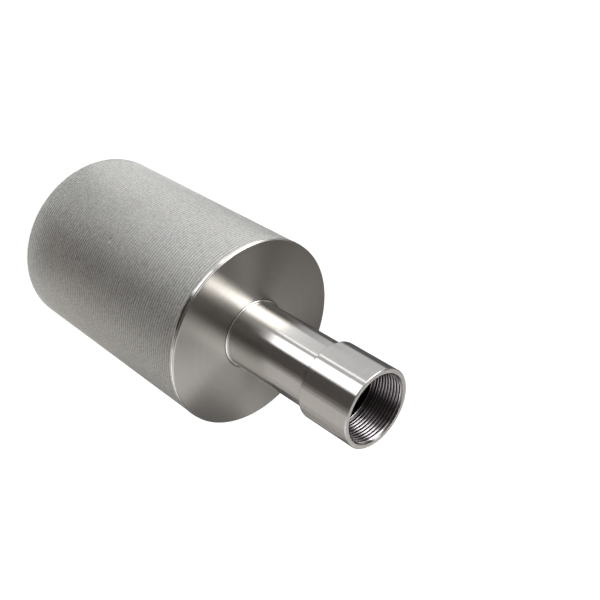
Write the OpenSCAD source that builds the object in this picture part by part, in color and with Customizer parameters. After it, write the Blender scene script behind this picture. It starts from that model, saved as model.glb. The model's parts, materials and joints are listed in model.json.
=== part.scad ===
// Sintered mesh filter element with a threaded stem.
// It stands on its blind mesh end. The origin is the centre of that end, and +Z runs up to the mouth.

/* [Mesh body] */
// Outside diameter of the mesh body
body_d = 132; // [100:0.5:160]
// Length of the body, from the blind face to the plate's face
body_l = 177.3; // [100:0.1:300]
// Thickness of the sintered mesh
mesh_t = 1.8; // [1.2:0.1:3]

/* [Weave] */
// Distance from one weave ridge to the next
weave_pitch = 2.2; // [1.6:0.01:4]
// Width of the groove between two ridges
weave_gap_w = 1.15; // [0.6:0.05:1.4]
// Depth of that groove
weave_gap_d = 0.35; // [0.15:0.05:0.5]
// Plain margin at the disc's edge and at each end of the sleeve
weave_margin = 1.6; // [0.8:0.1:4]

/* [Welds] */
// Width of the lengthwise seam bead
seam_w = 3.1; // [2:0.1:6]
// Height of the corner bead at the blind rim
blind_bead_h = 1.5; // [1:0.1:3]
// Radius of that bead's round corner
blind_bead_r = 1.2; // [0.4:0.1:1.3]
// Width of the bead between the sleeve and the plate's rim
plate_bead_w = 1.9; // [1.5:0.1:3.5]
// Crown of that bead above the mesh
plate_bead_crown = 0.2; // [0.1:0.05:0.4]
// Leg of the fillet bead round the neck
neck_bead_leg = 1.1; // [0.8:0.1:3]

/* [End plate] */
// Thickness of the plate, spigot included
plate_t = 6; // [5.5:0.5:15]
// Height of the plate's rim above the weld
plate_rim_h = 0.9; // [0.8:0.1:1.6]
// Rounding of the rim's outer edge
plate_edge_r = 0.4; // [0.2:0.1:0.6]

/* [Stem] */
// Length of the stem above the plate's face
stem_l = 109.9; // [70:0.1:200]
// Outside diameter of the neck
neck_d = 46.4; // [44:0.1:49]
// Outside diameter of the collar
collar_d = 53; // [51.5:0.1:62]
// Length of the collar
collar_l = 39.2; // [26:0.1:60]
// Radius of the fillet between the neck and the collar's shoulder
shoulder_fillet = 1.6; // [0.5:0.1:2]
// Chamfer on the collar's outer edge at the mouth
mouth_edge = 0.4; // [0.2:0.1:0.8]

/* [Outlet thread] */
// Diameter of the hole that the thread is cut in
thread_hole_d = 44.6; // [42:0.1:46]
// Depth of the threaded hole below the mouth
thread_depth = 21.3; // [12:0.1:24]
// Width of the flat ring at the mouth, between its two chamfers
mouth_land = 2.4; // [1:0.1:3]
// Step in radius from the threaded hole to the plain bore below it
bore_step = 1.5; // [0.5:0.1:2]

/* [Hidden] */
$fn = 96;

// Radii
body_r = body_d / 2;
sleeve_in_r = body_r - mesh_t;
neck_r = neck_d / 2;
collar_r = collar_d / 2;
thread_r = thread_hole_d / 2;
bore_r = thread_r - bore_step;

// Levels along the axis
sleeve_z0 = blind_bead_h;
plate_rim_z = body_l - plate_rim_h;
sleeve_z1 = plate_rim_z - plate_bead_w;
plate_z0 = body_l - plate_t;
mouth_z = body_l + stem_l;
collar_z0 = mouth_z - collar_l;
thread_z0 = mouth_z - thread_depth;
mouth_in_r = collar_r - mouth_edge - mouth_land;

// The weave: V grooves that leave a ridge at every pitch
sleeve_grooves = floor((sleeve_z1 - sleeve_z0 - 2 * weave_margin) / weave_pitch);
sleeve_groove_z0 = (sleeve_z0 + sleeve_z1 - (sleeve_grooves - 1) * weave_pitch) / 2;
disc_weave_r = sleeve_in_r - weave_margin;
disc_groove_pairs = floor(disc_weave_r / weave_pitch);

mesh_colour = [0.58, 0.58, 0.55];
turned_colour = [0.74, 0.73, 0.71];
weld_colour = [0.82, 0.81, 0.79];

// Radius of the arc that spans a chord and rises by a given height over it
function arc_radius(chord, rise) = (chord * chord / 4 + rise * rise) / (2 * rise);

// A ring's section: from one radius to another, from one level to another
module section(r0, r1, z0, z1) {
    translate([r0, z0])
        square([r1 - r0, z1 - z0]);
}

// A groove's section: its mouth is on the Y axis and its bottom towards -X
module weave_groove() {
    polygon([[-weave_gap_d, 0], [weave_gap_d, -weave_gap_w], [weave_gap_d, weave_gap_w]]);
}

// Tube of woven mesh with a groove between every two ridges, slit where its seam is welded
module mesh_sleeve() {
    color(mesh_colour)
        difference() {
            rotate_extrude()
                difference() {
                    section(sleeve_in_r, body_r, sleeve_z0, sleeve_z1);
                    for (i = [0 : sleeve_grooves - 1])
                        translate([body_r, sleeve_groove_z0 + i * weave_pitch])
                            weave_groove();
                }
            translate([-seam_w / 2, 0, 0])
                cube([seam_w, body_d, body_l]);
        }
}

// Bead that fills the slit from end to end, dressed to the sleeve's round
module sleeve_seam_weld() {
    color(weld_colour)
        translate([0, 0, sleeve_z0])
            linear_extrude(sleeve_z1 - sleeve_z0)
                intersection() {
                    difference() {
                        circle(body_r);
                        circle(sleeve_in_r);
                    }
                    translate([-seam_w / 2, 0])
                        square([seam_w, body_d]);
                }
}

// Blind disc inside the sleeve's end, with straight ridges between grooves on its outer face
module mesh_end_disc() {
    color(mesh_colour)
        difference() {
            cylinder(r = sleeve_in_r, h = mesh_t);
            intersection() {
                cylinder(r = disc_weave_r, h = mesh_t);
                for (i = [-disc_groove_pairs : disc_groove_pairs - 1])
                    translate([(i + 0.5) * weave_pitch, 0, 0])
                        rotate([90, 0, 0])
                            linear_extrude(body_d, center = true)
                                rotate(-90)
                                    weave_groove();
            }
        }
}

// Corner bead below the sleeve's end and round the disc
module blind_rim_weld() {
    color(weld_colour)
        rotate_extrude()
            intersection() {
                section(sleeve_in_r, body_r, 0, blind_bead_h);
                union() {
                    section(0, body_r - blind_bead_r, 0, blind_bead_h);
                    section(0, body_r, blind_bead_r, blind_bead_h);
                    translate([body_r - blind_bead_r, blind_bead_r])
                        circle(blind_bead_r);
                }
            }
}

// Turned plate: a thin rim over the weld, a spigot inside the sleeve, a hole for the stem
module end_plate() {
    color(turned_colour)
        rotate_extrude() {
            section(neck_r, sleeve_in_r, plate_z0, plate_rim_z);
            section(neck_r, body_r, plate_rim_z, body_l - plate_edge_r);
            section(neck_r, body_r - plate_edge_r, body_l - plate_edge_r, body_l);
            intersection() {
                section(neck_r, body_r, plate_rim_z, body_l);
                translate([body_r - plate_edge_r, body_l - plate_edge_r])
                    circle(plate_edge_r);
            }
        }
}

// Crowned bead in the groove between the sleeve's end and the plate's rim
module plate_rim_weld() {
    crown_arc_r = arc_radius(plate_bead_w, plate_bead_crown);
    crown_r = body_r + plate_bead_crown;
    color(weld_colour)
        rotate_extrude()
            intersection() {
                section(sleeve_in_r, crown_r, sleeve_z1, plate_rim_z);
                translate([crown_r - crown_arc_r, (sleeve_z1 + plate_rim_z) / 2])
                    circle(crown_arc_r);
            }
}

// One turned piece: neck through the plate, shoulder, collar, chamfered mouth and stepped bore
module stem() {
    fillet_r = min(shoulder_fillet, (collar_r - neck_r) / 2);
    color(turned_colour)
        rotate_extrude()
            difference() {
                polygon([
                    [bore_r, plate_z0],
                    [neck_r, plate_z0],
                    [neck_r, collar_z0 - fillet_r],
                    [neck_r + fillet_r, collar_z0 - fillet_r],
                    [neck_r + fillet_r, collar_z0],
                    [collar_r, collar_z0],
                    [collar_r, mouth_z - mouth_edge],
                    [collar_r - mouth_edge, mouth_z],
                    [mouth_in_r, mouth_z],
                    [thread_r, mouth_z - (mouth_in_r - thread_r)],
                    [thread_r, thread_z0],
                    [bore_r, thread_z0 - bore_step],
                ]);
                translate([neck_r + fillet_r, collar_z0 - fillet_r])
                    circle(fillet_r);
            }
}

// Fillet bead in the corner between the plate's face and the neck
module neck_weld() {
    color(weld_colour)
        rotate_extrude()
            intersection() {
                section(neck_r, neck_r + neck_bead_leg, body_l, body_l + neck_bead_leg);
                translate([neck_r, body_l])
                    circle(neck_bead_leg);
            }
}

mesh_sleeve();
sleeve_seam_weld();
mesh_end_disc();
blind_rim_weld();
end_plate();
plate_rim_weld();
stem();
neck_weld();
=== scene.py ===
"""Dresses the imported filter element: woven mesh, turned steel, cut thread and weld beads."""
import json
import math
from types import SimpleNamespace

import bmesh
import bpy
from mathutils import Matrix, Vector, noise


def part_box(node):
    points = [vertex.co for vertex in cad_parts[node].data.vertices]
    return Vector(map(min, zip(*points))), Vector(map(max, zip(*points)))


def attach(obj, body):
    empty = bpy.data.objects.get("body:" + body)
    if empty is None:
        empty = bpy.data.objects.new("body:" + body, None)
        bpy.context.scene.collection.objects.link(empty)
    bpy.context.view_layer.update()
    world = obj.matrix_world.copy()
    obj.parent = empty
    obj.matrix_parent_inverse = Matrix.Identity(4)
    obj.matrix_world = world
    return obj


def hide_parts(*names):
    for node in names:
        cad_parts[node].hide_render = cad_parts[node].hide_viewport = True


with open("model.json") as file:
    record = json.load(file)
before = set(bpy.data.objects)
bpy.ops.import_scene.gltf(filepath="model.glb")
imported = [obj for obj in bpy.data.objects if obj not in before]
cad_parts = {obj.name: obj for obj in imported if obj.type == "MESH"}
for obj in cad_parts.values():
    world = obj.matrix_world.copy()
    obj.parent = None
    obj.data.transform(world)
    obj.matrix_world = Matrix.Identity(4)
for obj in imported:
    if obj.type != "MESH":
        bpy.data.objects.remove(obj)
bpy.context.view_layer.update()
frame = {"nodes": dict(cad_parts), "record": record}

bl_info = {
    "name": "Sintered Filter Element",
    "version": (1, 0, 0),
    "blender": (4, 5, 0),
    "location": "View3D > Sidebar > Filter",
    "description": "Builds the looks of a welded mesh filter element over its packed solids",
    "category": "Object",
}

MM = 0.001
FULL_TURN = 2 * math.pi

# Steps from one weave ridge to the next
RIDGE_STEPS = 6


def measure_frame():
    """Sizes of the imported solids, in metres, on which the dressed pieces are built."""
    sleeve_low, sleeve_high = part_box("mesh_sleeve")
    disc_low, disc_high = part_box("mesh_end_disc")
    seam_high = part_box("sleeve_seam_weld")[1]
    plate_low, plate_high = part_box("end_plate")
    rim_low, rim_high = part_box("plate_rim_weld")
    stem_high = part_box("stem")[1]
    bead_low, bead_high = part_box("neck_weld")
    mounts = {mount["name"]: mount for mount in frame["record"]["mounts"]}
    neck_bead_leg = bead_high.z - bead_low.z
    return SimpleNamespace(
        body_r=sleeve_high.x,
        sleeve_in_r=disc_high.x,
        sleeve_z0=sleeve_low.z,
        sleeve_z1=sleeve_high.z,
        disc_t=disc_high.z - disc_low.z,
        seam_half=seam_high.x,
        plate_z0=plate_low.z,
        plate_z1=plate_high.z,
        rim_bead_r=rim_high.x,
        rim_bead_z0=rim_low.z,
        rim_bead_z1=rim_high.z,
        neck_bead_leg=neck_bead_leg,
        neck_r=bead_high.x - neck_bead_leg,
        collar_r=stem_high.x,
        mouth_z=stem_high.z,
        thread_r=mounts["outlet_thread"]["dims"]["r_mm"] * MM,
    )


CAD = measure_frame()


# Settings

def length(name, description, default):
    """A size in metres that a user may change."""
    return bpy.props.FloatProperty(
        name=name, description=description, default=default, min=0.0, precision=5,
        subtype="DISTANCE", unit="LENGTH")


def colour(name, description, default):
    """A surface colour that a user may change."""
    return bpy.props.FloatVectorProperty(
        name=name, description=description, default=default, size=3, min=0.0, max=1.0,
        subtype="COLOR")


def share(name, description, default):
    """A value from 0 to 1."""
    return bpy.props.FloatProperty(
        name=name, description=description, default=default, min=0.0, max=1.0,
        subtype="FACTOR")


class FilterWeaveSettings(bpy.types.PropertyGroup):
    """Sizes and colours of the sintered woven mesh."""

    ridge_pitch: length("Ridge pitch", "Distance from one weave ridge to the next", 2.2 * MM)
    ridge_height: length("Ridge height", "Height of a ridge over the valleys beside it", 0.35 * MM)
    knuckle_pitch: length("Knuckle pitch", "Distance between wire knuckles along a ridge", 0.83 * MM)
    nick_height: length("Nick height", "Height of the small nick in the sleeve", 83.3 * MM)
    nick_length: length("Nick length", "Length of that nick", 4.6 * MM)
    nick_depth: length("Nick depth", "Depth of that nick", 0.4 * MM)
    nick_angle: bpy.props.FloatProperty(
        name="Nick angle", description="Where the nick is round the sleeve", default=math.radians(-92.4),
        subtype="ANGLE", unit="ROTATION")
    disc_margin: length("Disc margin", "Plain ring at the edge of the blind disc", 1.6 * MM)
    ridge_colour: colour("Ridge colour", "Steel on top of the ridges", (0.54, 0.54, 0.523))
    # The valley colour is painted shade between the ridges.
    valley_shade_colour: colour("Valley colour", "Steel down between the ridges", (0.26, 0.258, 0.247))
    roughness: share("Roughness", "Roughness of the sintered wire", 0.46)


class FilterStemSettings(bpy.types.PropertyGroup):
    """Sizes and finish of the turned stem, its thread and the end plate."""

    collar_length: length("Collar length", "Length of the collar", 39.2 * MM)
    shoulder_fillet: length("Shoulder fillet", "Fillet between the neck and the collar", 1.6 * MM)
    mouth_edge: length("Mouth edge", "Chamfer on the collar's outer edge", 0.4 * MM)
    mouth_land: length("Mouth land", "Width of the flat ring round the mouth", 2.4 * MM)
    thread_length: length("Thread length", "Depth of the threaded hole", 21.3 * MM)
    thread_pitch: length("Thread pitch", "Rise of the thread in one turn", 2.309 * MM)
    thread_depth: length("Thread depth", "Depth of the thread's grooves", 1.35 * MM)
    bore_step: length("Bore step", "Step from the threaded hole to the plain bore", 1.5 * MM)
    steel_colour: colour("Steel colour", "Turned steel", (0.56, 0.55, 0.535))
    plate_colour: colour("Plate colour", "Face-turned plate", (0.59, 0.567, 0.53))
    # The mouth colour is the faced ring's own colour, and it also paints the highlights at the thread's
    # bore edge and lip.
    mouth_and_highlight_colour: colour("Mouth colour", "Faced ring round the mouth", (0.92, 0.9, 0.87))
    # The root colour is painted shade down in the thread's roots and on the cone below them.
    root_shade_colour: colour("Root colour", "Oily steel down in the thread", (0.41, 0.36, 0.4))
    stem_roughness: share("Stem roughness", "Roughness of the polished stem", 0.17)
    plate_roughness: share("Plate roughness", "Roughness of the turned plate", 0.3)


class FilterWeldSettings(bpy.types.PropertyGroup):
    """Sizes and colour of the weld beads."""

    ripple_pitch: length("Ripple pitch", "Distance between the ripples of a bead", 1.3 * MM)
    ripple_height: length("Ripple height", "Height of those ripples", 0.016 * MM)
    toe_wander: length("Toe wander", "How far a bead's edge strays", 0.5 * MM)
    rim_lap: length("Rim lap", "How far the plate's rim bead lies over the mesh", 0.8 * MM)
    rim_spill: length("Rim spill", "How much further it lies over the mesh on its fat stretch", 1.0 * MM)
    # The groove's darkness is painted shade in the weld material.
    toe_groove: length("Toe groove", "Width of the dark groove between it and the plate", 0.5 * MM)
    weld_colour: colour("Weld colour", "Dressed weld metal", (0.7, 0.69, 0.67))


class FilterStageSettings(bpy.types.PropertyGroup):
    """Camera, floor and studio light."""

    camera_place: bpy.props.FloatVectorProperty(
        name="Camera place", description="Where the camera stands", size=3,
        default=(0.0, -0.48327, 0.57392), subtype="TRANSLATION", unit="LENGTH")
    camera_right: bpy.props.FloatVectorProperty(
        name="Camera right", description="Direction of the picture's right edge", size=3,
        default=(-0.52458, 0.50151, 0.68796), subtype="DIRECTION")
    camera_up: bpy.props.FloatVectorProperty(
        name="Camera up", description="Direction of the picture's top edge", size=3,
        default=(-0.84951, -0.36133, -0.38438), subtype="DIRECTION")
    lens: bpy.props.FloatProperty(
        name="Lens", description="Focal length in millimetres", default=56.68,
        subtype="DISTANCE_CAMERA")
    floor_size: length("Floor size", "Side of the floor", 12.0)
    sky_level: bpy.props.FloatProperty(
        name="Sky level", description="Brightness of the white room", default=1.0, min=0.0)


# Mesh building

def make_piece(name, points, faces, materials, sharp_angle=35.0, face_materials=None):
    """A smooth shaded mesh object with its faces turned outwards."""
    mesh = bpy.data.meshes.new(name)
    mesh.from_pydata(points, [], faces)
    if face_materials:
        mesh.polygons.foreach_set("material_index", face_materials)
    shell = bmesh.new()
    shell.from_mesh(mesh)
    bmesh.ops.remove_doubles(shell, verts=shell.verts, dist=1e-7)
    bmesh.ops.recalc_face_normals(shell, faces=shell.faces)
    shell.to_mesh(mesh)
    shell.free()
    mesh.polygons.foreach_set("use_smooth", [True] * len(mesh.polygons))
    mesh.set_sharp_from_angle(angle=math.radians(sharp_angle))
    for material in materials:
        mesh.materials.append(material)
    piece = bpy.data.objects.new(name, mesh)
    bpy.context.scene.collection.objects.link(piece)
    return piece


def dress(piece, node):
    """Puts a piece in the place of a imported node."""
    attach(piece, "root")
    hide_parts(node)


def grid_faces(rows, columns, rows_closed, columns_closed):
    """Quads over a grid of points that is stored row by row."""
    row_steps = rows if rows_closed else rows - 1
    column_steps = columns if columns_closed else columns - 1
    faces = []
    for i in range(row_steps):
        this_row = i * columns
        next_row = (i + 1) % rows * columns
        for j in range(column_steps):
            k = (j + 1) % columns
            faces.append((this_row + j, this_row + k, next_row + k, next_row + j))
    return faces


def hold_corners(outline, gap=0.15 * MM):
    """Adds points close to the ends of each long stretch, so that shading stays flat along it."""
    held = []
    for start, end in zip(outline, outline[1:] + outline[:1]):
        stretch = Vector(end) - Vector(start)
        held.append(tuple(start))
        if stretch.length > 4 * gap:
            step = stretch.normalized() * gap
            held.append(tuple(Vector(start) + step))
            held.append(tuple(Vector(end) - step))
    return held


def arc(centre, radius, start, end, steps):
    """Points along a flat arc, with angles in degrees."""
    points = []
    for i in range(steps + 1):
        angle = math.radians(start + (end - start) * i / steps)
        points.append((centre[0] + radius * math.cos(angle), centre[1] + radius * math.sin(angle)))
    return points


def arc_radius(chord, rise):
    """Radius of the arc that spans a chord and rises by a given height over it."""
    return (chord * chord / 4 + rise * rise) / (2 * rise)


def polar(radius, angle, z):
    """A point at a distance from the axis, an angle round it and a height."""
    return (radius * math.cos(angle), radius * math.sin(angle), z)


def ring_noise(angle, lumps, layer):
    """Smooth noise from -1 to 1 that closes round a ring."""
    reach = lumps / FULL_TURN
    return noise.noise(Vector(polar(reach, angle, layer)))


# Mesh pieces

def ridge_drop(across, pitch, height):
    """How far a round weave ridge has fallen away at a distance across it, from ridge to ridge."""
    from_crest = (across / pitch + 0.5) % 1.0 - 0.5
    radius = arc_radius(pitch, height)
    reach = from_crest * pitch
    return radius - math.sqrt(radius * radius - reach * reach)


def sleeve_outline(weave):
    """Half section of the woven tube: ridges up the outside, then straight down the inside."""
    step = weave.ridge_pitch / RIDGE_STEPS
    rise = CAD.sleeve_z1 - CAD.sleeve_z0
    count = int(rise / step)
    outline = []
    for i in range(count + 1):
        z = CAD.sleeve_z0 + min(i * step, rise)
        drop = ridge_drop(z - CAD.sleeve_z0, weave.ridge_pitch, weave.ridge_height)
        outline.append((CAD.body_r - drop, z))
    outline.append((CAD.body_r - weave.ridge_height, CAD.sleeve_z1))
    outline.append((CAD.sleeve_in_r, CAD.sleeve_z1))
    outline.append((CAD.sleeve_in_r, CAD.sleeve_z0))
    return outline


def nick_drop(weave, angle, z):
    """How deep a small slanting nick goes in at a place on the sleeve."""
    aside = math.remainder(angle - weave.nick_angle, FULL_TURN) * CAD.body_r
    above = z - weave.nick_height
    slant = math.radians(36)
    reach_along = weave.nick_length / 2.4
    reach_across = weave.nick_length / 6.5
    along = aside * math.cos(slant) + above * math.sin(slant)
    across = above * math.cos(slant) - aside * math.sin(slant)
    return weave.nick_depth * math.exp(-(along / reach_along) ** 2 - (across / reach_across) ** 2)


def sleeve_turns(weave):
    """Shares of the way round from the seam, closer together at the nick."""
    columns = 176
    close_columns = 9
    close_step = 0.4 * MM / (FULL_TURN * CAD.body_r)
    turns = [j / (columns - 1) for j in range(columns)]
    nick = (weave.nick_angle - math.pi / 2) % FULL_TURN / FULL_TURN
    turns += [nick + j * close_step for j in range(-close_columns, close_columns + 1)]
    return sorted(turns)


def build_sleeve(weave):
    """The rolled tube, slit from end to end at the back, where its seam is welded."""
    outline = sleeve_outline(weave)
    turns = sleeve_turns(weave)
    points = []
    for radius, z in outline:
        slit = math.asin(CAD.seam_half / radius)
        for turn in turns:
            angle = math.pi / 2 + slit + (FULL_TURN - 2 * slit) * turn
            r = radius
            if radius > CAD.body_r - 2 * weave.ridge_height:
                r -= nick_drop(weave, angle, z)
            points.append(polar(r, angle, z))
    rows = len(outline)
    columns = len(turns)
    faces = grid_faces(rows, columns, True, False)
    faces.append(tuple(i * columns for i in range(rows)))
    faces.append(tuple(i * columns + columns - 1 for i in range(rows)))
    piece = make_piece("woven_sleeve", points, faces, [sleeve_material(weave)], sharp_angle=80.0)
    dress(piece, "mesh_sleeve")


def build_end_disc(weave):
    """The blind disc: straight round ridges inside a plain ring."""
    weave_r = CAD.sleeve_in_r - weave.disc_margin
    half_count = int(weave_r / weave.ridge_pitch) * RIDGE_STEPS
    step = weave.ridge_pitch / RIDGE_STEPS
    lines = [i * step for i in range(-half_count, half_count + 1)]
    levels = ((weave_r, None), (weave_r, 0.0), (CAD.sleeve_in_r, 0.0), (CAD.sleeve_in_r, CAD.disc_t))
    points = []
    for radius, z in levels:
        for side in (1, -1):
            for x in lines[::side]:
                y = side * math.sqrt(weave_r * weave_r - x * x)
                height = ridge_drop(x, weave.ridge_pitch, weave.ridge_height) if z is None else z
                points.append((x * radius / weave_r, y * radius / weave_r, height))
    ring = 2 * len(lines)
    faces = grid_faces(len(levels), ring, False, True)
    for i in range(len(lines) - 1):
        faces.append((i, i + 1, ring - 2 - i, ring - 1 - i))
    faces.append(tuple(range((len(levels) - 1) * ring, len(levels) * ring)))
    piece = make_piece("woven_end_disc", points, faces, [disc_material(weave)], sharp_angle=80.0)
    dress(piece, "mesh_end_disc")


# Turned pieces

def ring_points(outline, columns):
    """Points of a half section turned round the axis, ring by ring."""
    points = []
    for radius, z in outline:
        for j in range(columns):
            points.append(polar(radius, FULL_TURN * j / columns, z))
    return points


def mouth_in_r(stem):
    """Radius of the inner edge of the flat ring round the mouth."""
    return CAD.collar_r - stem.mouth_edge - stem.mouth_land


def chamfer_foot(stem):
    """Height of the lower edge of the mouth's inner chamfer, which slopes at 45 degrees."""
    return CAD.mouth_z - (mouth_in_r(stem) - CAD.thread_r)


def thread_foot(stem):
    """Height of the lower end of the thread."""
    return CAD.mouth_z - stem.thread_length


def thread_wave(phase):
    """Thread profile over one turn, from 0 on its narrow crests to 1 in its wide roots."""
    root_widening = 1.6
    from_crest = abs(2 * (phase % 1.0) - 1)
    rounded = from_crest * from_crest * (3 - 2 * from_crest)
    return 1 - (1 - rounded) ** root_widening


def chamfer_flare(above, edge=0.45 * MM):
    """How far the mouth's chamfer has opened at a height above its lower edge, which is rounded."""
    if above > edge:
        return above
    return max(above + edge, 0.0) ** 2 / (4 * edge)


def thread_surface(stem, columns, first):
    """Points and faces of a right-hand thread, in rows along its helix from the run-out to the mouth."""
    per_turn = 16
    run_out = 0.6 * MM
    low = thread_foot(stem)
    high = chamfer_foot(stem)
    turns = math.ceil(stem.thread_length / stem.thread_pitch) + 1
    rows = turns * per_turn + 1
    points = []
    for k in range(rows):
        wave = thread_wave(k / per_turn)
        for j in range(columns):
            rise = (k / per_turn - 1 + j / columns) * stem.thread_pitch
            z = min(max(low + rise, low), CAD.mouth_z)
            depth = stem.thread_depth * min((z - low) / run_out, max(high - z, 0.0) / run_out, 1.0)
            radius = CAD.thread_r + depth * wave + chamfer_flare(z - high)
            points.append(polar(radius, FULL_TURN * j / columns, z))
    faces = []
    for k in range(rows - 1):
        row = first + k * columns
        for j in range(columns - 1):
            faces.append((row + j, row + j + 1, row + columns + j + 1, row + columns + j))
        if k + per_turn + 1 < rows:
            ahead = row + per_turn * columns
            last = columns - 1
            faces.append((row + last, ahead, ahead + columns, row + columns + last))
    return points, faces


def stem_outline(stem):
    """Half section of the turned outside, from the foot of the neck up to the mouth."""
    edge = 0.8 * MM
    collar_z0 = CAD.mouth_z - stem.collar_length
    fillet = stem.shoulder_fillet
    outline = [(CAD.neck_r, CAD.plate_z0)]
    outline += arc((CAD.neck_r + fillet, collar_z0 - fillet), fillet, 180, 90, 8)
    outline += arc((CAD.collar_r - edge, collar_z0 + edge), edge, -90, 0, 4)
    outline += [
        (CAD.collar_r, CAD.mouth_z - stem.mouth_edge),
        (CAD.collar_r - stem.mouth_edge, CAD.mouth_z),
        (mouth_in_r(stem), CAD.mouth_z),
    ]
    return outline


def bore_outline(stem):
    """Half section of the inside, from the foot of the thread down the cone and the plain bore."""
    edge = 0.5 * MM
    bore_r = CAD.thread_r - stem.bore_step
    edge_z = thread_foot(stem) - stem.bore_step - (math.sqrt(2) - 1) * edge
    outline = [(CAD.thread_r, thread_foot(stem))]
    outline += arc((bore_r + edge, edge_z), edge, 135, 180, 4)
    outline.append((bore_r, CAD.plate_z0))
    return outline


def build_stem(stem):
    """Neck, shoulder, collar, mouth and bore as one turned piece, with a right-hand thread cut in it."""
    columns = 192
    outside_zone, bore_zone, mouth_zone = range(3)
    outside = stem_outline(stem)
    bore = bore_outline(stem)
    # The thread closes the section, so the two points held on that last stretch are dropped
    outline = hold_corners(bore + outside)[:-2]
    points = ring_points(outline, columns)
    faces = grid_faces(len(outline), columns, False, True)
    bore_end = outline.index(bore[-1])
    land_start = outline.index(outside[-2])
    zones = []
    for row in range(len(outline) - 1):
        zone = outside_zone
        if row < bore_end:
            zone = bore_zone
        elif row >= land_start:
            zone = mouth_zone
        zones += [zone] * columns
    cut_points, cut_faces = thread_surface(stem, columns, len(points))
    piece = make_piece(
        "threaded_stem", points + cut_points, faces + cut_faces,
        [stem_material(stem), thread_material(stem), mouth_material(stem)], sharp_angle=50.0,
        face_materials=zones + [bore_zone] * len(cut_faces))
    dress(piece, "stem")


def finish_plate(stem):
    """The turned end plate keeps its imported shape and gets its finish."""
    plate = frame["nodes"]["end_plate"]
    plate.data.materials.clear()
    plate.data.materials.append(plate_material(stem))


# Weld beads

def bead_ring(name, section, weld, material, columns, lumps, layer, spill=None):
    """A closed ring bead. Each section point is (radius, height, ripple share, edge wander)."""
    points = []
    for radius, z, ripple_share, wander in section:
        ripples = round(FULL_TURN * radius / weld.ripple_pitch)
        for j in range(columns):
            angle = FULL_TURN * j / columns
            drift = ring_noise(angle, lumps, layer)
            slow_drift = ring_noise(angle, lumps / 3, layer + 5)
            quick_drift = ring_noise(angle, 3.1 * lumps, layer + 9)
            ripple = math.cos(ripples * angle + 2.5 * drift)
            swell = ripple_share * weld.ripple_height * (ripple + 2.0 * slow_drift)
            stray = wander * weld.toe_wander * (0.4 * drift + 0.9 * quick_drift)
            if spill:
                stray -= wander * spill(angle)
            r = radius + swell
            points.append(polar(r, angle, z + stray))
    faces = grid_faces(len(section), columns, True, True)
    return make_piece(name, points, faces, [material], sharp_angle=50.0)


def build_rim_bead(weld, material):
    """Dressed bead between the sleeve and the plate's rim, with a ragged toe that spills on the mesh."""
    steps = 10
    crown = CAD.rim_bead_r - CAD.body_r
    toe_r = CAD.body_r - 0.4 * MM
    groove_r = CAD.body_r - 0.25 * MM
    groove_z = CAD.rim_bead_z1 - weld.toe_groove
    groove_slope = 0.15 * MM
    low_z = CAD.rim_bead_z0 - weld.rim_lap
    spill_middle = math.radians(-86)
    spill_reach = math.radians(15)
    section = [(CAD.sleeve_in_r, CAD.rim_bead_z1, 0, 0), (CAD.sleeve_in_r, CAD.rim_bead_z0, 0, 0)]
    section.append((toe_r, low_z, 0.3, 1))
    for i in range(steps + 1):
        across = i / steps
        bulge = 1 - (2 * across - 1) ** 8
        toe = max(0.0, 1 - 2 * across)
        z = low_z + (groove_z - low_z) * across
        section.append((CAD.body_r + crown * (bulge - 0.1), z, 0.4 + 0.6 * bulge, toe))
    section.append((groove_r, groove_z + groove_slope, 0, 0))
    section.append((groove_r, CAD.rim_bead_z1, 0, 0))

    def spill(angle):
        """How far the bead's fat stretch reaches down over the mesh."""
        aside = math.remainder(angle - spill_middle, FULL_TURN) / spill_reach
        return weld.rim_spill * math.exp(-aside ** 4)

    piece = bead_ring("plate_rim_bead", section, weld, material,
                      columns=720, lumps=60, layer=1.0, spill=spill)
    dress(piece, "plate_rim_weld")


def build_blind_bead(weld, material):
    """Thin corner bead round the blind disc."""
    low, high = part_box("blind_rim_weld")
    corner = 1.2 * MM
    standing = 0.1 * MM
    toe_depth = 0.4 * MM
    toe_lap = 0.2 * MM
    section = [(CAD.sleeve_in_r, high.z, 0, 0), (CAD.sleeve_in_r, low.z, 0, 0)]
    for r, z in arc((high.x - corner, low.z + corner), corner, -90, 0, 8):
        section.append((r, z, 0.5 if z > low.z + standing else 0, 0))
    section.append((high.x, high.z, 0.4, 1))
    section.append((high.x - toe_depth, high.z + toe_lap, 0, 1))
    piece = bead_ring("blind_rim_bead", section, weld, material, columns=720, lumps=90, layer=2.0)
    dress(piece, "blind_rim_weld")


def build_neck_bead(weld, material):
    """Small fillet bead where the neck leaves the plate."""
    foot_height = 0.1 * MM
    section = [(CAD.neck_r, CAD.plate_z1, 0, 0)]
    for r, z in arc((CAD.neck_r, CAD.plate_z1), CAD.neck_bead_leg, 0, 90, 8):
        section.append((r, z, 0.8 if z >= CAD.plate_z1 + foot_height else 0, 0))
    piece = bead_ring("neck_bead", section, weld, material, columns=288, lumps=24, layer=3.0)
    dress(piece, "neck_weld")


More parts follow.
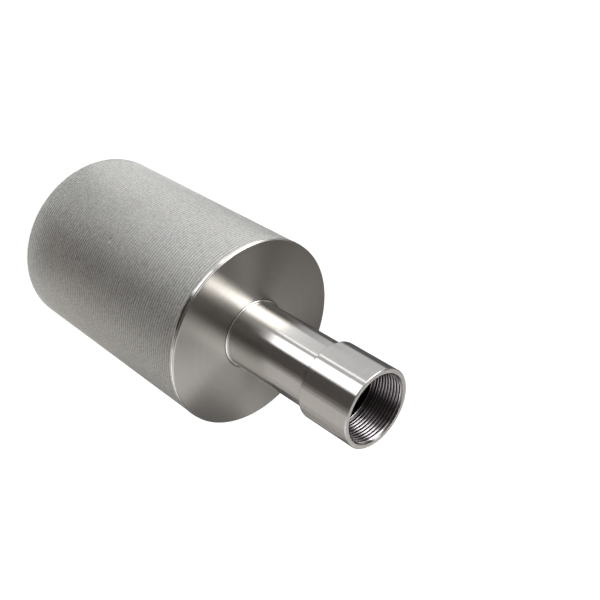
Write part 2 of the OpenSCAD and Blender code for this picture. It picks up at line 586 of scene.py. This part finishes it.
def build_seam_bead(weld, material):
    """Lengthwise bead that closes the rolled tube, with ripples across it."""
    across = 10
    crown = 0.08 * MM
    chevron = 2.2
    drift_scale = 140
    rise = CAD.sleeve_z1 - CAD.sleeve_z0
    rows = int(rise / (0.25 * weld.ripple_pitch))
    loop = []
    for i in range(across + 1):
        loop.append((2 * i / across - 1, True))
    for i in range(across + 1):
        loop.append((1 - 2 * i / across, False))
    points = []
    for i in range(rows + 1):
        z = CAD.sleeve_z0 + rise * i / rows
        for side, outer in loop:
            x = CAD.seam_half * side
            bow = 1 - side * side
            ripple = math.cos(FULL_TURN * z / weld.ripple_pitch + chevron * side * side)
            drift = noise.noise(Vector((0.0, 0.0, z * drift_scale)))
            swell = bow * (weld.ripple_height * (ripple + drift) + crown)
            radius = CAD.body_r + swell if outer else CAD.sleeve_in_r
            points.append((x, math.sqrt(radius * radius - x * x), z))
    columns = len(loop)
    faces = grid_faces(rows + 1, columns, False, True)
    faces.append(tuple(range(columns)))
    faces.append(tuple(rows * columns + j for j in range(columns)))
    piece = make_piece("sleeve_seam_bead", points, faces, [material], sharp_angle=50.0)
    dress(piece, "sleeve_seam_weld")


# Shader building

# Most of a noise texture's values lie between these two
NOISE_LOW = 0.3
NOISE_HIGH = 0.7


class Shader:
    """A material or node group that is being wired up."""

    def __init__(self, tree):
        self.tree = tree

    def node(self, kind, **settings):
        """Adds a node and sets its options."""
        made = self.tree.nodes.new(kind)
        for key, value in settings.items():
            setattr(made, key, value)
        return made

    def feed(self, socket, value):
        """Links a socket to another, or sets it to a plain value or an opaque colour."""
        if isinstance(value, bpy.types.NodeSocket):
            self.tree.links.new(value, socket)
        elif socket.type == "RGBA":
            socket.default_value = (*value, 1.0)
        else:
            socket.default_value = value

    def math(self, operation, *values):
        """One step of arithmetic."""
        made = self.node("ShaderNodeMath", operation=operation)
        for socket, value in zip(made.inputs, values):
            self.feed(socket, value)
        return made.outputs[0]

    def chain(self, operation, first, *others):
        """Works several values together, two by two."""
        for value in others:
            first = self.math(operation, first, value)
        return first

    def spread(self, value, low, high, from_low=0.0, from_high=1.0):
        """Maps a value from one range to another."""
        made = self.node("ShaderNodeMapRange")
        for name, fed in (("Value", value), ("From Min", from_low), ("From Max", from_high),
                          ("To Min", low), ("To Max", high)):
            self.feed(made.inputs[name], fed)
        return made.outputs["Result"]

    def vary(self, mottle, low, high):
        """Maps a noise to a range."""
        return self.spread(mottle, low, high, NOISE_LOW, NOISE_HIGH)

    def mix(self, factor, first, second, blend="MIX"):
        """Mixes two colours."""
        made = self.node("ShaderNodeMix", data_type="RGBA", blend_type=blend)
        self.feed(made.inputs[0], factor)
        self.feed(made.inputs[6], first)
        self.feed(made.inputs[7], second)
        return made.outputs[2]

    def shaded(self, colour, *shades):
        """A colour made darker or lighter by some values."""
        return self.mix(1.0, colour, self.chain("MULTIPLY", *shades), "MULTIPLY")

    def noise(self, vector, scale, detail):
        """A noise through the solid."""
        made = self.node("ShaderNodeTexNoise")
        self.feed(made.inputs["Vector"], vector)
        self.feed(made.inputs["Scale"], scale)
        self.feed(made.inputs["Detail"], detail)
        return made.outputs["Fac"]

    def bump(self, height, distance, strength):
        """A normal that follows a height."""
        made = self.node("ShaderNodeBump")
        self.feed(made.inputs["Height"], height)
        self.feed(made.inputs["Distance"], distance)
        self.feed(made.inputs["Strength"], strength)
        return made.outputs["Normal"]

    def coat(self, colour, roughness, normal):
        """Feeds a metallic surface and gives back its inputs."""
        surface = self.tree.nodes["Principled BSDF"].inputs
        surface["Metallic"].default_value = 1.0
        self.feed(surface["Base Color"], colour)
        self.feed(surface["Roughness"], roughness)
        self.feed(surface["Normal"], normal)
        return surface

    def group(self, name, **values):
        """Places a shared node group and feeds its inputs, named with spaces as underscores."""
        made = self.node("ShaderNodeGroup", node_tree=shared_group(name))
        for key, value in values.items():
            self.feed(made.inputs[key.replace("_", " ").capitalize()], value)
        return made.outputs

    def from_axis(self, parts):
        """Distance from the part's axis."""
        squares = [self.math("POWER", parts[axis], 2.0) for axis in "XY"]
        return self.math("SQRT", self.math("ADD", *squares))

    def near(self, value, middle, reach):
        """1 where a value is at a middle, fading to 0 at a given reach from it."""
        off = self.math("ABSOLUTE", self.math("SUBTRACT", value, middle))
        return self.spread(off, 1.0, 0.0, 0.0, reach)

    def close_to(self, place, spot, reach):
        """1 round a spot, fading to 0 at a given reach from it."""
        made = self.node("ShaderNodeVectorMath", operation="DISTANCE")
        self.feed(made.inputs[0], place)
        self.feed(made.inputs[1], spot)
        return self.spread(made.outputs["Value"], 1.0, 0.0, 0.4 * reach, reach)

    def place(self):
        """The point on the surface, in the frame's metres."""
        return self.node("ShaderNodeTexCoord").outputs["Object"]

    def parts(self, place):
        """The three coordinates of a point."""
        made = self.node("ShaderNodeSeparateXYZ")
        self.feed(made.inputs[0], place)
        return made.outputs


def shared_group(name):
    """A node group with named sockets, wired up the first time that a material asks for it."""
    if name in bpy.data.node_groups:
        return bpy.data.node_groups[name]
    inputs, outputs, wire = SHARED_GROUPS[name]
    tree = bpy.data.node_groups.new(name, "ShaderNodeTree")
    for label in inputs:
        kind = "NodeSocketVector" if label == "Place" else "NodeSocketFloat"
        tree.interface.new_socket(label, in_out="INPUT", socket_type=kind)
    for label in outputs:
        tree.interface.new_socket(label, in_out="OUTPUT", socket_type="NodeSocketFloat")
    shader = Shader(tree)
    given = shader.node("NodeGroupInput").outputs
    taken = shader.node("NodeGroupOutput").inputs
    for label, value in zip(outputs, wire(shader, given)):
        shader.feed(taken[label], value)
    return tree


def wire_weave(shader, given):
    """Masks of a weave's ridges and of the knuckles along them, each row half a step from the next."""
    row = shader.math("ADD", shader.math("DIVIDE", given["Across"], given["Pitch"]), 0.5)
    off_crest = shader.math("ABSOLUTE", shader.math("SUBTRACT", shader.math("FRACT", row), 0.5))
    steep = shader.math("POWER", shader.math("MULTIPLY", off_crest, 2.0), 2.0)
    ridge = shader.math("SUBTRACT", 1.0, steep)
    shift = shader.math("MULTIPLY", shader.math("FLOOR", row), 0.5)
    turn = shader.math("ADD", shader.math("DIVIDE", given["Along"], given["Knuckle"]), shift)
    wave = shader.math("COSINE", shader.math("MULTIPLY", turn, FULL_TURN))
    knuckle = shader.spread(wave, 0.0, 1.0, -1.0, 1.0)
    return ridge, shader.math("MULTIPLY", ridge, knuckle)


def wire_steel(shader, given):
    """Slow cloudiness and fine grain of bare steel."""
    cloud = shader.noise(given["Place"], given["Cloud scale"], 4.0)
    return cloud, shader.noise(given["Place"], given["Grain scale"], 1.0)


def wire_turning(shader, given):
    """Fine lines that a lathe tool leaves along one coordinate, and broad bands of them."""
    fine_scale = 1.0
    broad_scale = 0.08
    lines = shader.math("DIVIDE", given["Along"], given["Line"])
    marks = []
    for scale in (fine_scale, broad_scale):
        made = shader.node("ShaderNodeTexNoise", noise_dimensions="1D")
        shader.feed(made.inputs["W"], lines)
        shader.feed(made.inputs["Scale"], scale)
        marks.append(made.outputs["Fac"])
    return marks


def wire_soft_lamp(shader, given):
    """Glow of a soft lamp on a dome, which fades with the angle from the lamp's middle."""
    aim = shader.node("ShaderNodeVectorMath", operation="NORMALIZE")
    shader.feed(aim.inputs[0], given["Place"])
    parts = shader.parts(aim.outputs[0])
    turn = shader.math("ARCTAN2", parts["Y"], parts["X"])
    aside = shader.math("WRAP", shader.math("SUBTRACT", turn, given["Azimuth"]), math.pi, -math.pi)
    above = shader.math("SUBTRACT", shader.math("ARCSINE", parts["Z"]), given["Elevation"])
    fall = []
    for off, reach in ((aside, given["Wide"]), (above, given["High"])):
        share_of_reach = shader.math("ABSOLUTE", shader.math("DIVIDE", off, reach))
        fall.append(shader.math("POWER", share_of_reach, given["Crispness"]))
    fade = shader.math("EXPONENT", shader.math("MULTIPLY", shader.math("ADD", *fall), -1.0))
    return [shader.math("MULTIPLY", fade, given["Level"])]


# Shared node groups: inputs, outputs and what wires them up
SHARED_GROUPS = {
    "Dutch weave": (("Across", "Along", "Pitch", "Knuckle"), ("Ridge", "Knuckles"), wire_weave),
    "Steel mottle": (("Place", "Cloud scale", "Grain scale"), ("Cloud", "Grain"), wire_steel),
    "Turning marks": (("Along", "Line"), ("Lines", "Bands"), wire_turning),
    "Soft lamp": (("Place", "Azimuth", "Elevation", "Wide", "High", "Level", "Crispness"),
                  ("Glow",), wire_soft_lamp),
}


def new_metal(name, cloud_scale, grain_scale):
    """A fresh metal: its material, its wiring, the place on its surface and the mottle there."""
    material = bpy.data.materials.new(name)
    material.use_nodes = True
    shader = Shader(material.node_tree)
    place = shader.place()
    mottle = shader.group("Steel mottle", place=place, cloud_scale=cloud_scale, grain_scale=grain_scale)
    return material, shader, place, mottle


def nick_end(weave, side):
    """A point on the sleeve near one end of the nick."""
    angle = weave.nick_angle + side * 0.3 * weave.nick_length / CAD.body_r
    z = weave.nick_height + side * 0.25 * weave.nick_length
    return polar(CAD.body_r, angle, z)


def woven_finish(name, weave, coordinates, spots=()):
    """Sintered wire: pale ridges with painted highlights on the knuckle tops, painted shade in the valleys,
    knuckles, grain and a few spots of painted highlight and shade.
    """
    spot_reach = 1.1 * MM
    wobble = 0.06 * weave.ridge_pitch
    material, shader, place, mottle = new_metal(name, cloud_scale=70.0, grain_scale=720.0)
    across, along = coordinates(shader, shader.parts(place))
    stray = shader.vary(mottle["Cloud"], -wobble, wobble)
    wires = shader.group("Dutch weave", across=shader.math("ADD", across, stray), along=along,
                         pitch=weave.ridge_pitch, knuckle=weave.knuckle_pitch)
    # Painted light: the full ridge colour on the knuckle tops, painted shade down their sides and in the
    # valleys.
    crest = shader.spread(wires["Knuckles"], 0.55, 1.0)
    painted_light_share = shader.math("MULTIPLY", wires["Ridge"], crest)
    steel = shader.mix(painted_light_share, weave.valley_shade_colour, weave.ridge_colour)
    # Painted highlight and painted shade at the given spots.
    for spot, spot_colour in spots:
        steel = shader.mix(shader.close_to(place, spot, spot_reach), steel, spot_colour)
    cloud = shader.vary(mottle["Cloud"], 0.97, 1.03)
    grain = shader.vary(mottle["Grain"], 0.77, 1.2)
    roughness = shader.vary(mottle["Grain"], weave.roughness - 0.06, weave.roughness + 0.1)
    height = shader.math("ADD", wires["Knuckles"], shader.math("MULTIPLY", mottle["Grain"], 0.5))
    shader.coat(shader.shaded(steel, cloud, grain), roughness, shader.bump(height, 0.12 * MM, 0.8))
    return material


def sleeve_material(weave):
    """Woven steel whose ridges run round the body, with a painted highlight at one end of the nick and
    painted shade at its other end.
    """
    def round_the_body(shader, parts):
        across = shader.math("SUBTRACT", parts["Z"], CAD.sleeve_z0)
        angle = shader.math("ARCTAN2", parts["Y"], parts["X"])
        return across, shader.math("MULTIPLY", angle, CAD.body_r)
    # Painted highlight at one end of the nick and painted shade at the other, for the dent's shading.
    nick_highlight = (nick_end(weave, 1), (0.85, 0.84, 0.82))
    dark = (nick_end(weave, -1), (0.15, 0.15, 0.145))
    return woven_finish("sintered_sleeve_mesh", weave, round_the_body, (nick_highlight, dark))


def disc_material(weave):
    """Woven steel whose ridges run straight across the blind disc."""
    def straight_across(_, parts):
        return parts["X"], parts["Y"]
    return woven_finish("sintered_disc_mesh", weave, straight_across)


def turned_finish(name, steel, roughness, anisotropy, along, painted_shade_at=None):
    """Turned steel: lathe lines that stretch highlights across themselves, and perhaps a line of painted
    shade.
    """
    painted_shade_reach = 0.5 * MM
    quarter_turn = 0.25
    material, shader, place, mottle = new_metal(name, cloud_scale=45.0, grain_scale=1800.0)
    travel = along(shader, shader.parts(place))
    marks = shader.group("Turning marks", along=travel, line=0.25 * MM)
    bands = shader.vary(marks["Bands"], 0.985, 1.01)
    cloud = shader.vary(mottle["Cloud"], 0.97, 1.02)
    grain = shader.vary(mottle["Grain"], 0.95, 1.05)
    shades = [bands, cloud, grain]
    # A line of painted shade, where one is given.
    if painted_shade_at is not None:
        shades.append(shader.spread(shader.near(travel, painted_shade_at, painted_shade_reach), 1.0, 0.2))
    uneven = shader.vary(marks["Lines"], roughness - 0.01, roughness + 0.01)
    height = shader.math("ADD", marks["Lines"], shader.math("MULTIPLY", mottle["Grain"], 0.15))
    surface = shader.coat(shader.shaded(steel, *shades), uneven, shader.bump(height, 0.002 * MM, 0.2))
    surface["Anisotropic"].default_value = anisotropy
    surface["Anisotropic Rotation"].default_value = quarter_turn
    tangent = shader.node("ShaderNodeTangent", direction_type="RADIAL", axis="Z")
    shader.feed(surface["Tangent"], tangent.outputs[0])
    return material


def plate_material(stem):
    """Face-turned plate: rings round the neck, and a line of painted shade at the foot of the neck's bead.
    """
    bead_foot = CAD.neck_r + CAD.neck_bead_leg + 0.2 * MM
    return turned_finish("turned_plate_steel", stem.plate_colour, stem.plate_roughness, 0.85,
                         Shader.from_axis, bead_foot)


def stem_material(stem):
    """Turned and polished stem: rings along its length."""
    def up_the_stem(_, parts):
        return parts["Z"]
    return turned_finish("polished_stem_steel", stem.steel_colour, stem.stem_roughness, 0.8, up_the_stem)


def thread_material(stem):
    """Cut thread and bore: steel on the crests, painted highlights on the lip and the bore edge, painted
    shade in the roots, on the cone and on the chamfer.
    """
    lip_z = chamfer_foot(stem)
    cone_z = thread_foot(stem)
    material, shader, place, mottle = new_metal("cut_thread_steel", cloud_scale=120.0, grain_scale=2500.0)
    parts = shader.parts(place)
    radius = shader.from_axis(parts)
    crest = shader.near(radius, CAD.thread_r, 0.5 * MM)
    bore_edge = shader.near(radius, CAD.thread_r - stem.bore_step, 0.35 * MM)
    lip = shader.near(parts["Z"], lip_z, 0.4 * MM)
    chamfer = shader.spread(parts["Z"], 0.0, 1.0, lip_z - 0.1 * MM, lip_z)
    # Painted shade: the root colour everywhere except the crests, the bore edge and the chamfer.
    unshaded_share = shader.chain("MAXIMUM", crest, bore_edge, chamfer)
    steel = shader.mix(unshaded_share, stem.root_shade_colour, stem.steel_colour)
    # Painted highlights: thin bright lines at the bore edge and at the chamfer's lip.
    steel = shader.mix(shader.math("MAXIMUM", bore_edge, lip), steel, stem.mouth_and_highlight_colour)
    cloud = shader.vary(mottle["Cloud"], 0.85, 1.0)
    # Painted shade on the cone below the thread, except at the bore edge.
    above_cone = shader.spread(parts["Z"], 0.2, 1.0, cone_z - 0.3 * MM, cone_z + 0.3 * MM)
    painted_light_share = shader.math("MAXIMUM", above_cone, bore_edge)
    # Painted shade on the chamfer above its lip.
    painted_chamfer_shade = shader.spread(shader.math("SUBTRACT", chamfer, lip), 1.0, 0.65)
    shader.coat(shader.shaded(steel, cloud, painted_light_share, painted_chamfer_shade), shader.vary(mottle["Grain"], 0.11, 0.15),
                shader.bump(mottle["Grain"], 0.003 * MM, 0.3))
    return material


def mouth_material(stem):
    """Faced ring round the mouth: pale and matt."""
    material, shader, _, mottle = new_metal("faced_mouth_steel", cloud_scale=150.0, grain_scale=2500.0)
    cloud = shader.vary(mottle["Cloud"], 0.93, 1.03)
    shader.coat(shader.shaded(stem.mouth_and_highlight_colour, cloud), shader.vary(mottle["Grain"], 0.55, 0.65),
                shader.bump(mottle["Grain"], 0.004 * MM, 0.3))
    return material


def weld_material(weld):
    """Dressed weld metal: bright and a little uneven, with painted shade in the rim bead's open groove over
    part of the way round.
    """
    groove_z = CAD.rim_bead_z1 - weld.toe_groove
    material, shader, place, mottle = new_metal("dressed_weld_steel", cloud_scale=220.0, grain_scale=1600.0)
    parts = shader.parts(place)
    cloud = shader.vary(mottle["Cloud"], 0.84, 1.05)
    # Painted shade in the rim bead's groove by the plate, left out over part of the way round.
    below_groove = shader.spread(parts["Z"], 1.0, 0.12, groove_z, groove_z + 0.1 * MM)
    above_groove = shader.math("GREATER_THAN", parts["Z"], CAD.rim_bead_z1 + 0.05 * MM)
    turn = shader.math("ARCTAN2", parts["Y"], parts["X"])
    unshaded_stretch = shader.spread(turn, 0.0, 1.0, math.radians(-75), math.radians(-58))
    groove_unshaded = shader.chain("MAXIMUM", below_groove, above_groove, unshaded_stretch)
    shader.coat(shader.shaded(weld.weld_colour, cloud, groove_unshaded), shader.vary(mottle["Cloud"], 0.2, 0.1),
                shader.bump(mottle["Cloud"], 0.03 * MM, 0.3))
    return material


# Stage

# Tints of the studio cards
NEUTRAL = (1.0, 1.0, 1.0)
BROWN = (1.1, 0.98, 0.91)
WARM = (1.05, 1.0, 0.95)

# What the metal sees between the lamps
DIM_ROOM = (0.057, 0.049, 0.045)

# Cards on the floor: name, azimuths from and to, near and far edge, brightness, tint
FLOOR_MATS = (
    ("bright_strip", -121, -95, 0.27, 1.39, 3.0, NEUTRAL),
    ("bright_near_strip", -121, -95, 0.22, 0.27, 1.5, NEUTRAL),
    ("dark_mat", -91, -52, 0.27, 1.39, 0.1, BROWN),
    ("dark_near_mat", -91, -42, 0.08, 0.165, 0.36, BROWN),
    ("dark_rim_mat", -95, -42, 0.165, 0.2, 0.05, BROWN),
    ("dark_mid_mat", -91, -52, 0.2, 0.27, 0.025, BROWN),
    ("dark_edge_mat", -52, -43, 0.2, 1.39, 0.2, BROWN),
    ("grey_edge_mat", -43, -34, 0.2, 1.39, 0.42, WARM),
    ("grey_mat", -34, 10, 0.2, 1.39, 0.66, WARM),
    ("grey_side_mat", 10, 30, 0.2, 1.39, 0.53, WARM),
    ("grey_near_mat", -42, 30, 0.08, 0.2, 0.85, WARM),
    ("grey_far_mat", 30, 62, 0.36, 1.39, 0.4, WARM),
    ("back_mat", 30, 115, 0.145, 0.36, 0.08, NEUTRAL),
    ("back_far_mat", 62, 115, 0.36, 1.39, 0.08, NEUTRAL),
    ("back_left_mat", 115, 148, 0.215, 1.39, 0.13, NEUTRAL),
    ("left_far_mat", 148, 224, 0.33, 1.39, 0.77, NEUTRAL),
    ("left_shade_mat", 148, 178, 0.23, 0.33, 0.45, NEUTRAL),
    ("left_mid_mat", 178, 224, 0.23, 0.33, 1.3, NEUTRAL),
    ("left_near_mat", 148, 230, 0.07, 0.165, 1.32, NEUTRAL),
    ("left_rim_mat", 148, 230, 0.165, 0.23, 1.1, NEUTRAL),
    ("front_near_mat", 230, 265, 0.07, 0.15, 0.85, NEUTRAL),
    ("front_mid_mat", 230, 265, 0.15, 0.22, 0.08, NEUTRAL),
    ("thin_strip", 224, 228, 0.23, 1.39, 2.2, NEUTRAL),
    ("strip_edge", 228, 239, 0.23, 1.39, 0.66, NEUTRAL),
)

# Soft lamps on the dome: azimuth, elevation, spread in both, brightness, crispness of the edge
SOFT_LAMPS = (
    (-160, 28, 24, 26, 7.6, 4),
    (-122, 34, 14, 24, 1.0, 2),
    (-10, 16, 32, 20, 2.5, 2),
    (72, 45, 12, 21, 1.15, 2),
    (34, 52, 22, 18, 1.0, 2),
    (8, 61, 26, 11, 0.9, 2),
    (-85, 30, 16, 14, 0.4, 2),
    (143, 28, 18, 18, 0.5, 2),
)


def glow_material(name, level, tint=NEUTRAL):
    """A plain card of one brightness and tint."""
    material = bpy.data.materials.new(name)
    material.use_nodes = True
    shader = Shader(material.node_tree)
    glow = shader.node("ShaderNodeEmission")
    shader.feed(glow.inputs["Strength"], level)
    shader.feed(glow.inputs["Color"], tint)
    output = material.node_tree.nodes["Material Output"]
    shader.feed(output.inputs["Surface"], glow.outputs[0])
    material.node_tree.nodes.remove(material.node_tree.nodes["Principled BSDF"])
    return material


def floor_material():
    """Pale floor that looks white to the eye and in the metal, and keeps the object's shadow."""
    material = bpy.data.materials.new("pale_floor")
    material.use_nodes = True
    tree = material.node_tree
    tree.nodes.remove(tree.nodes["Principled BSDF"])
    shader = Shader(tree)
    plain = shader.node("ShaderNodeBsdfDiffuse")
    shader.feed(plain.inputs["Color"], (0.8, 0.8, 0.8))
    faint = shader.node("ShaderNodeBsdfDiffuse")
    shader.feed(faint.inputs["Color"], (0.35, 0.35, 0.35))
    glow = shader.node("ShaderNodeEmission")
    shader.feed(glow.inputs["Strength"], 0.78)
    white = shader.node("ShaderNodeAddShader")
    shader.feed(white.inputs[0], faint.outputs[0])
    shader.feed(white.inputs[1], glow.outputs[0])
    ray = shader.node("ShaderNodeLightPath").outputs
    seen = shader.chain("MAXIMUM", ray["Is Camera Ray"], ray["Is Glossy Ray"], ray["Is Transmission Ray"])
    both = shader.node("ShaderNodeMixShader")
    shader.feed(both.inputs[0], seen)
    shader.feed(both.inputs[1], plain.outputs[0])
    shader.feed(both.inputs[2], white.outputs[0])
    shader.feed(tree.nodes["Material Output"].inputs["Surface"], both.outputs[0])
    return material


def build_floor(stage):
    """The floor under the blind end."""
    half = stage.floor_size / 2
    corners = [(-half, -half, 0), (half, -half, 0), (half, half, 0), (-half, half, 0)]
    floor = make_piece("floor", corners, [(0, 1, 2, 3)], [floor_material()])


def show_in_metal_only(card):
    """A card that is seen in reflections and nowhere else."""
    card.visible_camera = False
    card.visible_diffuse = False
    card.visible_transmission = False
    card.visible_shadow = False


def build_mat(name, start, end, near, far, level, tint):
    """A card that lies just over the floor, between two azimuths in degrees and two distances."""
    lift = 1.0 * MM
    degrees_per_step = 3
    steps = max(2, int((end - start) / degrees_per_step))
    points = []
    for radius in (near, far):
        points += [(x, y, lift) for x, y in arc((0, 0), radius, start, end, steps)]
    faces = grid_faces(2, steps + 1, False, False)
    show_in_metal_only(make_piece(name, points, faces, [glow_material(name + "_glow", level, tint)]))


def build_flag():
    """A dark card that stands beyond the plate and shades the plate's far edge."""
    level = 0.18
    y = 0.09
    low, high = 0.207, 0.282
    left_low, left_high, right = 0.056, 0.074, 0.15
    corners = [(left_low, y, low), (right, y, low), (right, y, high), (left_high, y, high)]
    glow = glow_material("dark_flag_glow", level)
    show_in_metal_only(make_piece("dark_flag", corners, [(0, 1, 2, 3)], [glow]))


def dome_material():
    """Dark dome with soft lamps on it."""
    material = glow_material("soft_lamp_dome_glow", 1.0)
    tree = material.node_tree
    shader = Shader(tree)
    place = shader.place()
    total = 0.0
    for azimuth, elevation, wide, high, level, crispness in SOFT_LAMPS:
        lamp = shader.group(
            "Soft lamp", place=place, azimuth=math.radians(azimuth),
            elevation=math.radians(elevation), wide=math.radians(wide), high=math.radians(high),
            level=level, crispness=crispness)
        total = shader.math("ADD", lamp["Glow"], total)
    shader.feed(tree.nodes["Emission"].inputs["Color"], shader.mix(1.0, total, DIM_ROOM, "ADD"))
    return material


def build_dome():
    """A dome of soft lamps round the object."""
    reach = 1.4
    columns = 72
    outline = arc((0, 0), reach, 0, 90, 18)
    points = ring_points(outline, columns)
    faces = grid_faces(len(outline), columns, False, True)
    show_in_metal_only(make_piece("soft_lamp_dome", points, faces, [dome_material()]))


def build_camera(stage):
    """The camera at the photograph's viewing angle."""
    data = bpy.data.cameras.new("camera")
    data.lens = stage.lens
    data.sensor_width = 36.0
    camera = bpy.data.objects.new("camera", data)
    bpy.context.scene.collection.objects.link(camera)
    right = Vector(stage.camera_right).normalized()
    up = Vector(stage.camera_up)
    back = right.cross(up).normalized()
    turn = Matrix((right, back.cross(right), back)).transposed()
    camera.matrix_world = Matrix.Translation(Vector(stage.camera_place)) @ turn.to_4x4()
    bpy.context.scene.camera = camera


def build_world(stage):
    """A white room."""
    world = bpy.data.worlds.new("white_room")
    world.use_nodes = True
    background = world.node_tree.nodes["Background"].inputs
    background["Color"].default_value = (1.0, 1.0, 1.0, 1.0)
    background["Strength"].default_value = stage.sky_level
    bpy.context.scene.world = world
    bpy.context.scene.view_settings.view_transform = "Standard"


# Operators

class FILTER_OT_woven_mesh(bpy.types.Operator):
    """Build the woven sleeve and the blind disc."""

    bl_idname = "filter_element.woven_mesh"
    bl_label = "Woven Mesh"

    def execute(self, context):
        weave = context.scene.filter_weave
        build_sleeve(weave)
        build_end_disc(weave)
        return {"FINISHED"}


class FILTER_OT_turned_steel(bpy.types.Operator):
    """Build the threaded stem and finish the end plate."""

    bl_idname = "filter_element.turned_steel"
    bl_label = "Turned Steel"

    def execute(self, context):
        stem = context.scene.filter_stem
        build_stem(stem)
        finish_plate(stem)
        return {"FINISHED"}


class FILTER_OT_weld_beads(bpy.types.Operator):
    """Build the four weld beads."""

    bl_idname = "filter_element.weld_beads"
    bl_label = "Weld Beads"

    def execute(self, context):
        weld = context.scene.filter_weld
        material = weld_material(weld)
        for build in (build_rim_bead, build_blind_bead, build_neck_bead, build_seam_bead):
            build(weld, material)
        return {"FINISHED"}


class FILTER_OT_stage(bpy.types.Operator):
    """Build the floor, the studio cards, the lights and the camera."""

    bl_idname = "filter_element.stage"
    bl_label = "Stage"

    def execute(self, context):
        stage = context.scene.filter_stage
        build_world(stage)
        build_floor(stage)
        for mat in FLOOR_MATS:
            build_mat(*mat)
        build_dome()
        build_flag()
        build_camera(stage)
        return {"FINISHED"}


class FILTER_PT_panel(bpy.types.Panel):
    """Lists the steps that build the filter element."""

    bl_label = "Filter Element"
    bl_idname = "FILTER_PT_panel"
    bl_space_type = "VIEW_3D"
    bl_region_type = "UI"
    bl_category = "Filter"

    def draw(self, context):
        for step in STEPS:
            self.layout.operator(step.bl_idname)


STEPS = (FILTER_OT_woven_mesh, FILTER_OT_turned_steel, FILTER_OT_weld_beads, FILTER_OT_stage)
SETTINGS = {
    "filter_weave": FilterWeaveSettings,
    "filter_stem": FilterStemSettings,
    "filter_weld": FilterWeldSettings,
    "filter_stage": FilterStageSettings,
}


def register():
    """Adds the settings, the steps and the panel to Blender."""
    for name, group in SETTINGS.items():
        bpy.utils.register_class(group)
        setattr(bpy.types.Scene, name, bpy.props.PointerProperty(type=group))
    for step in STEPS:
        bpy.utils.register_class(step)
    bpy.utils.register_class(FILTER_PT_panel)


def unregister():
    """Takes the panel, the steps and the settings out again."""
    bpy.utils.unregister_class(FILTER_PT_panel)
    for step in reversed(STEPS):
        bpy.utils.unregister_class(step)
    for name, group in SETTINGS.items():
        delattr(bpy.types.Scene, name)
        bpy.utils.unregister_class(group)


def main():
    """Builds the looks and the stage, step by step."""
    register()
    bpy.ops.filter_element.woven_mesh()
    bpy.ops.filter_element.turned_steel()
    bpy.ops.filter_element.weld_beads()
    bpy.ops.filter_element.stage()


if __name__ == "__main__":
    main()
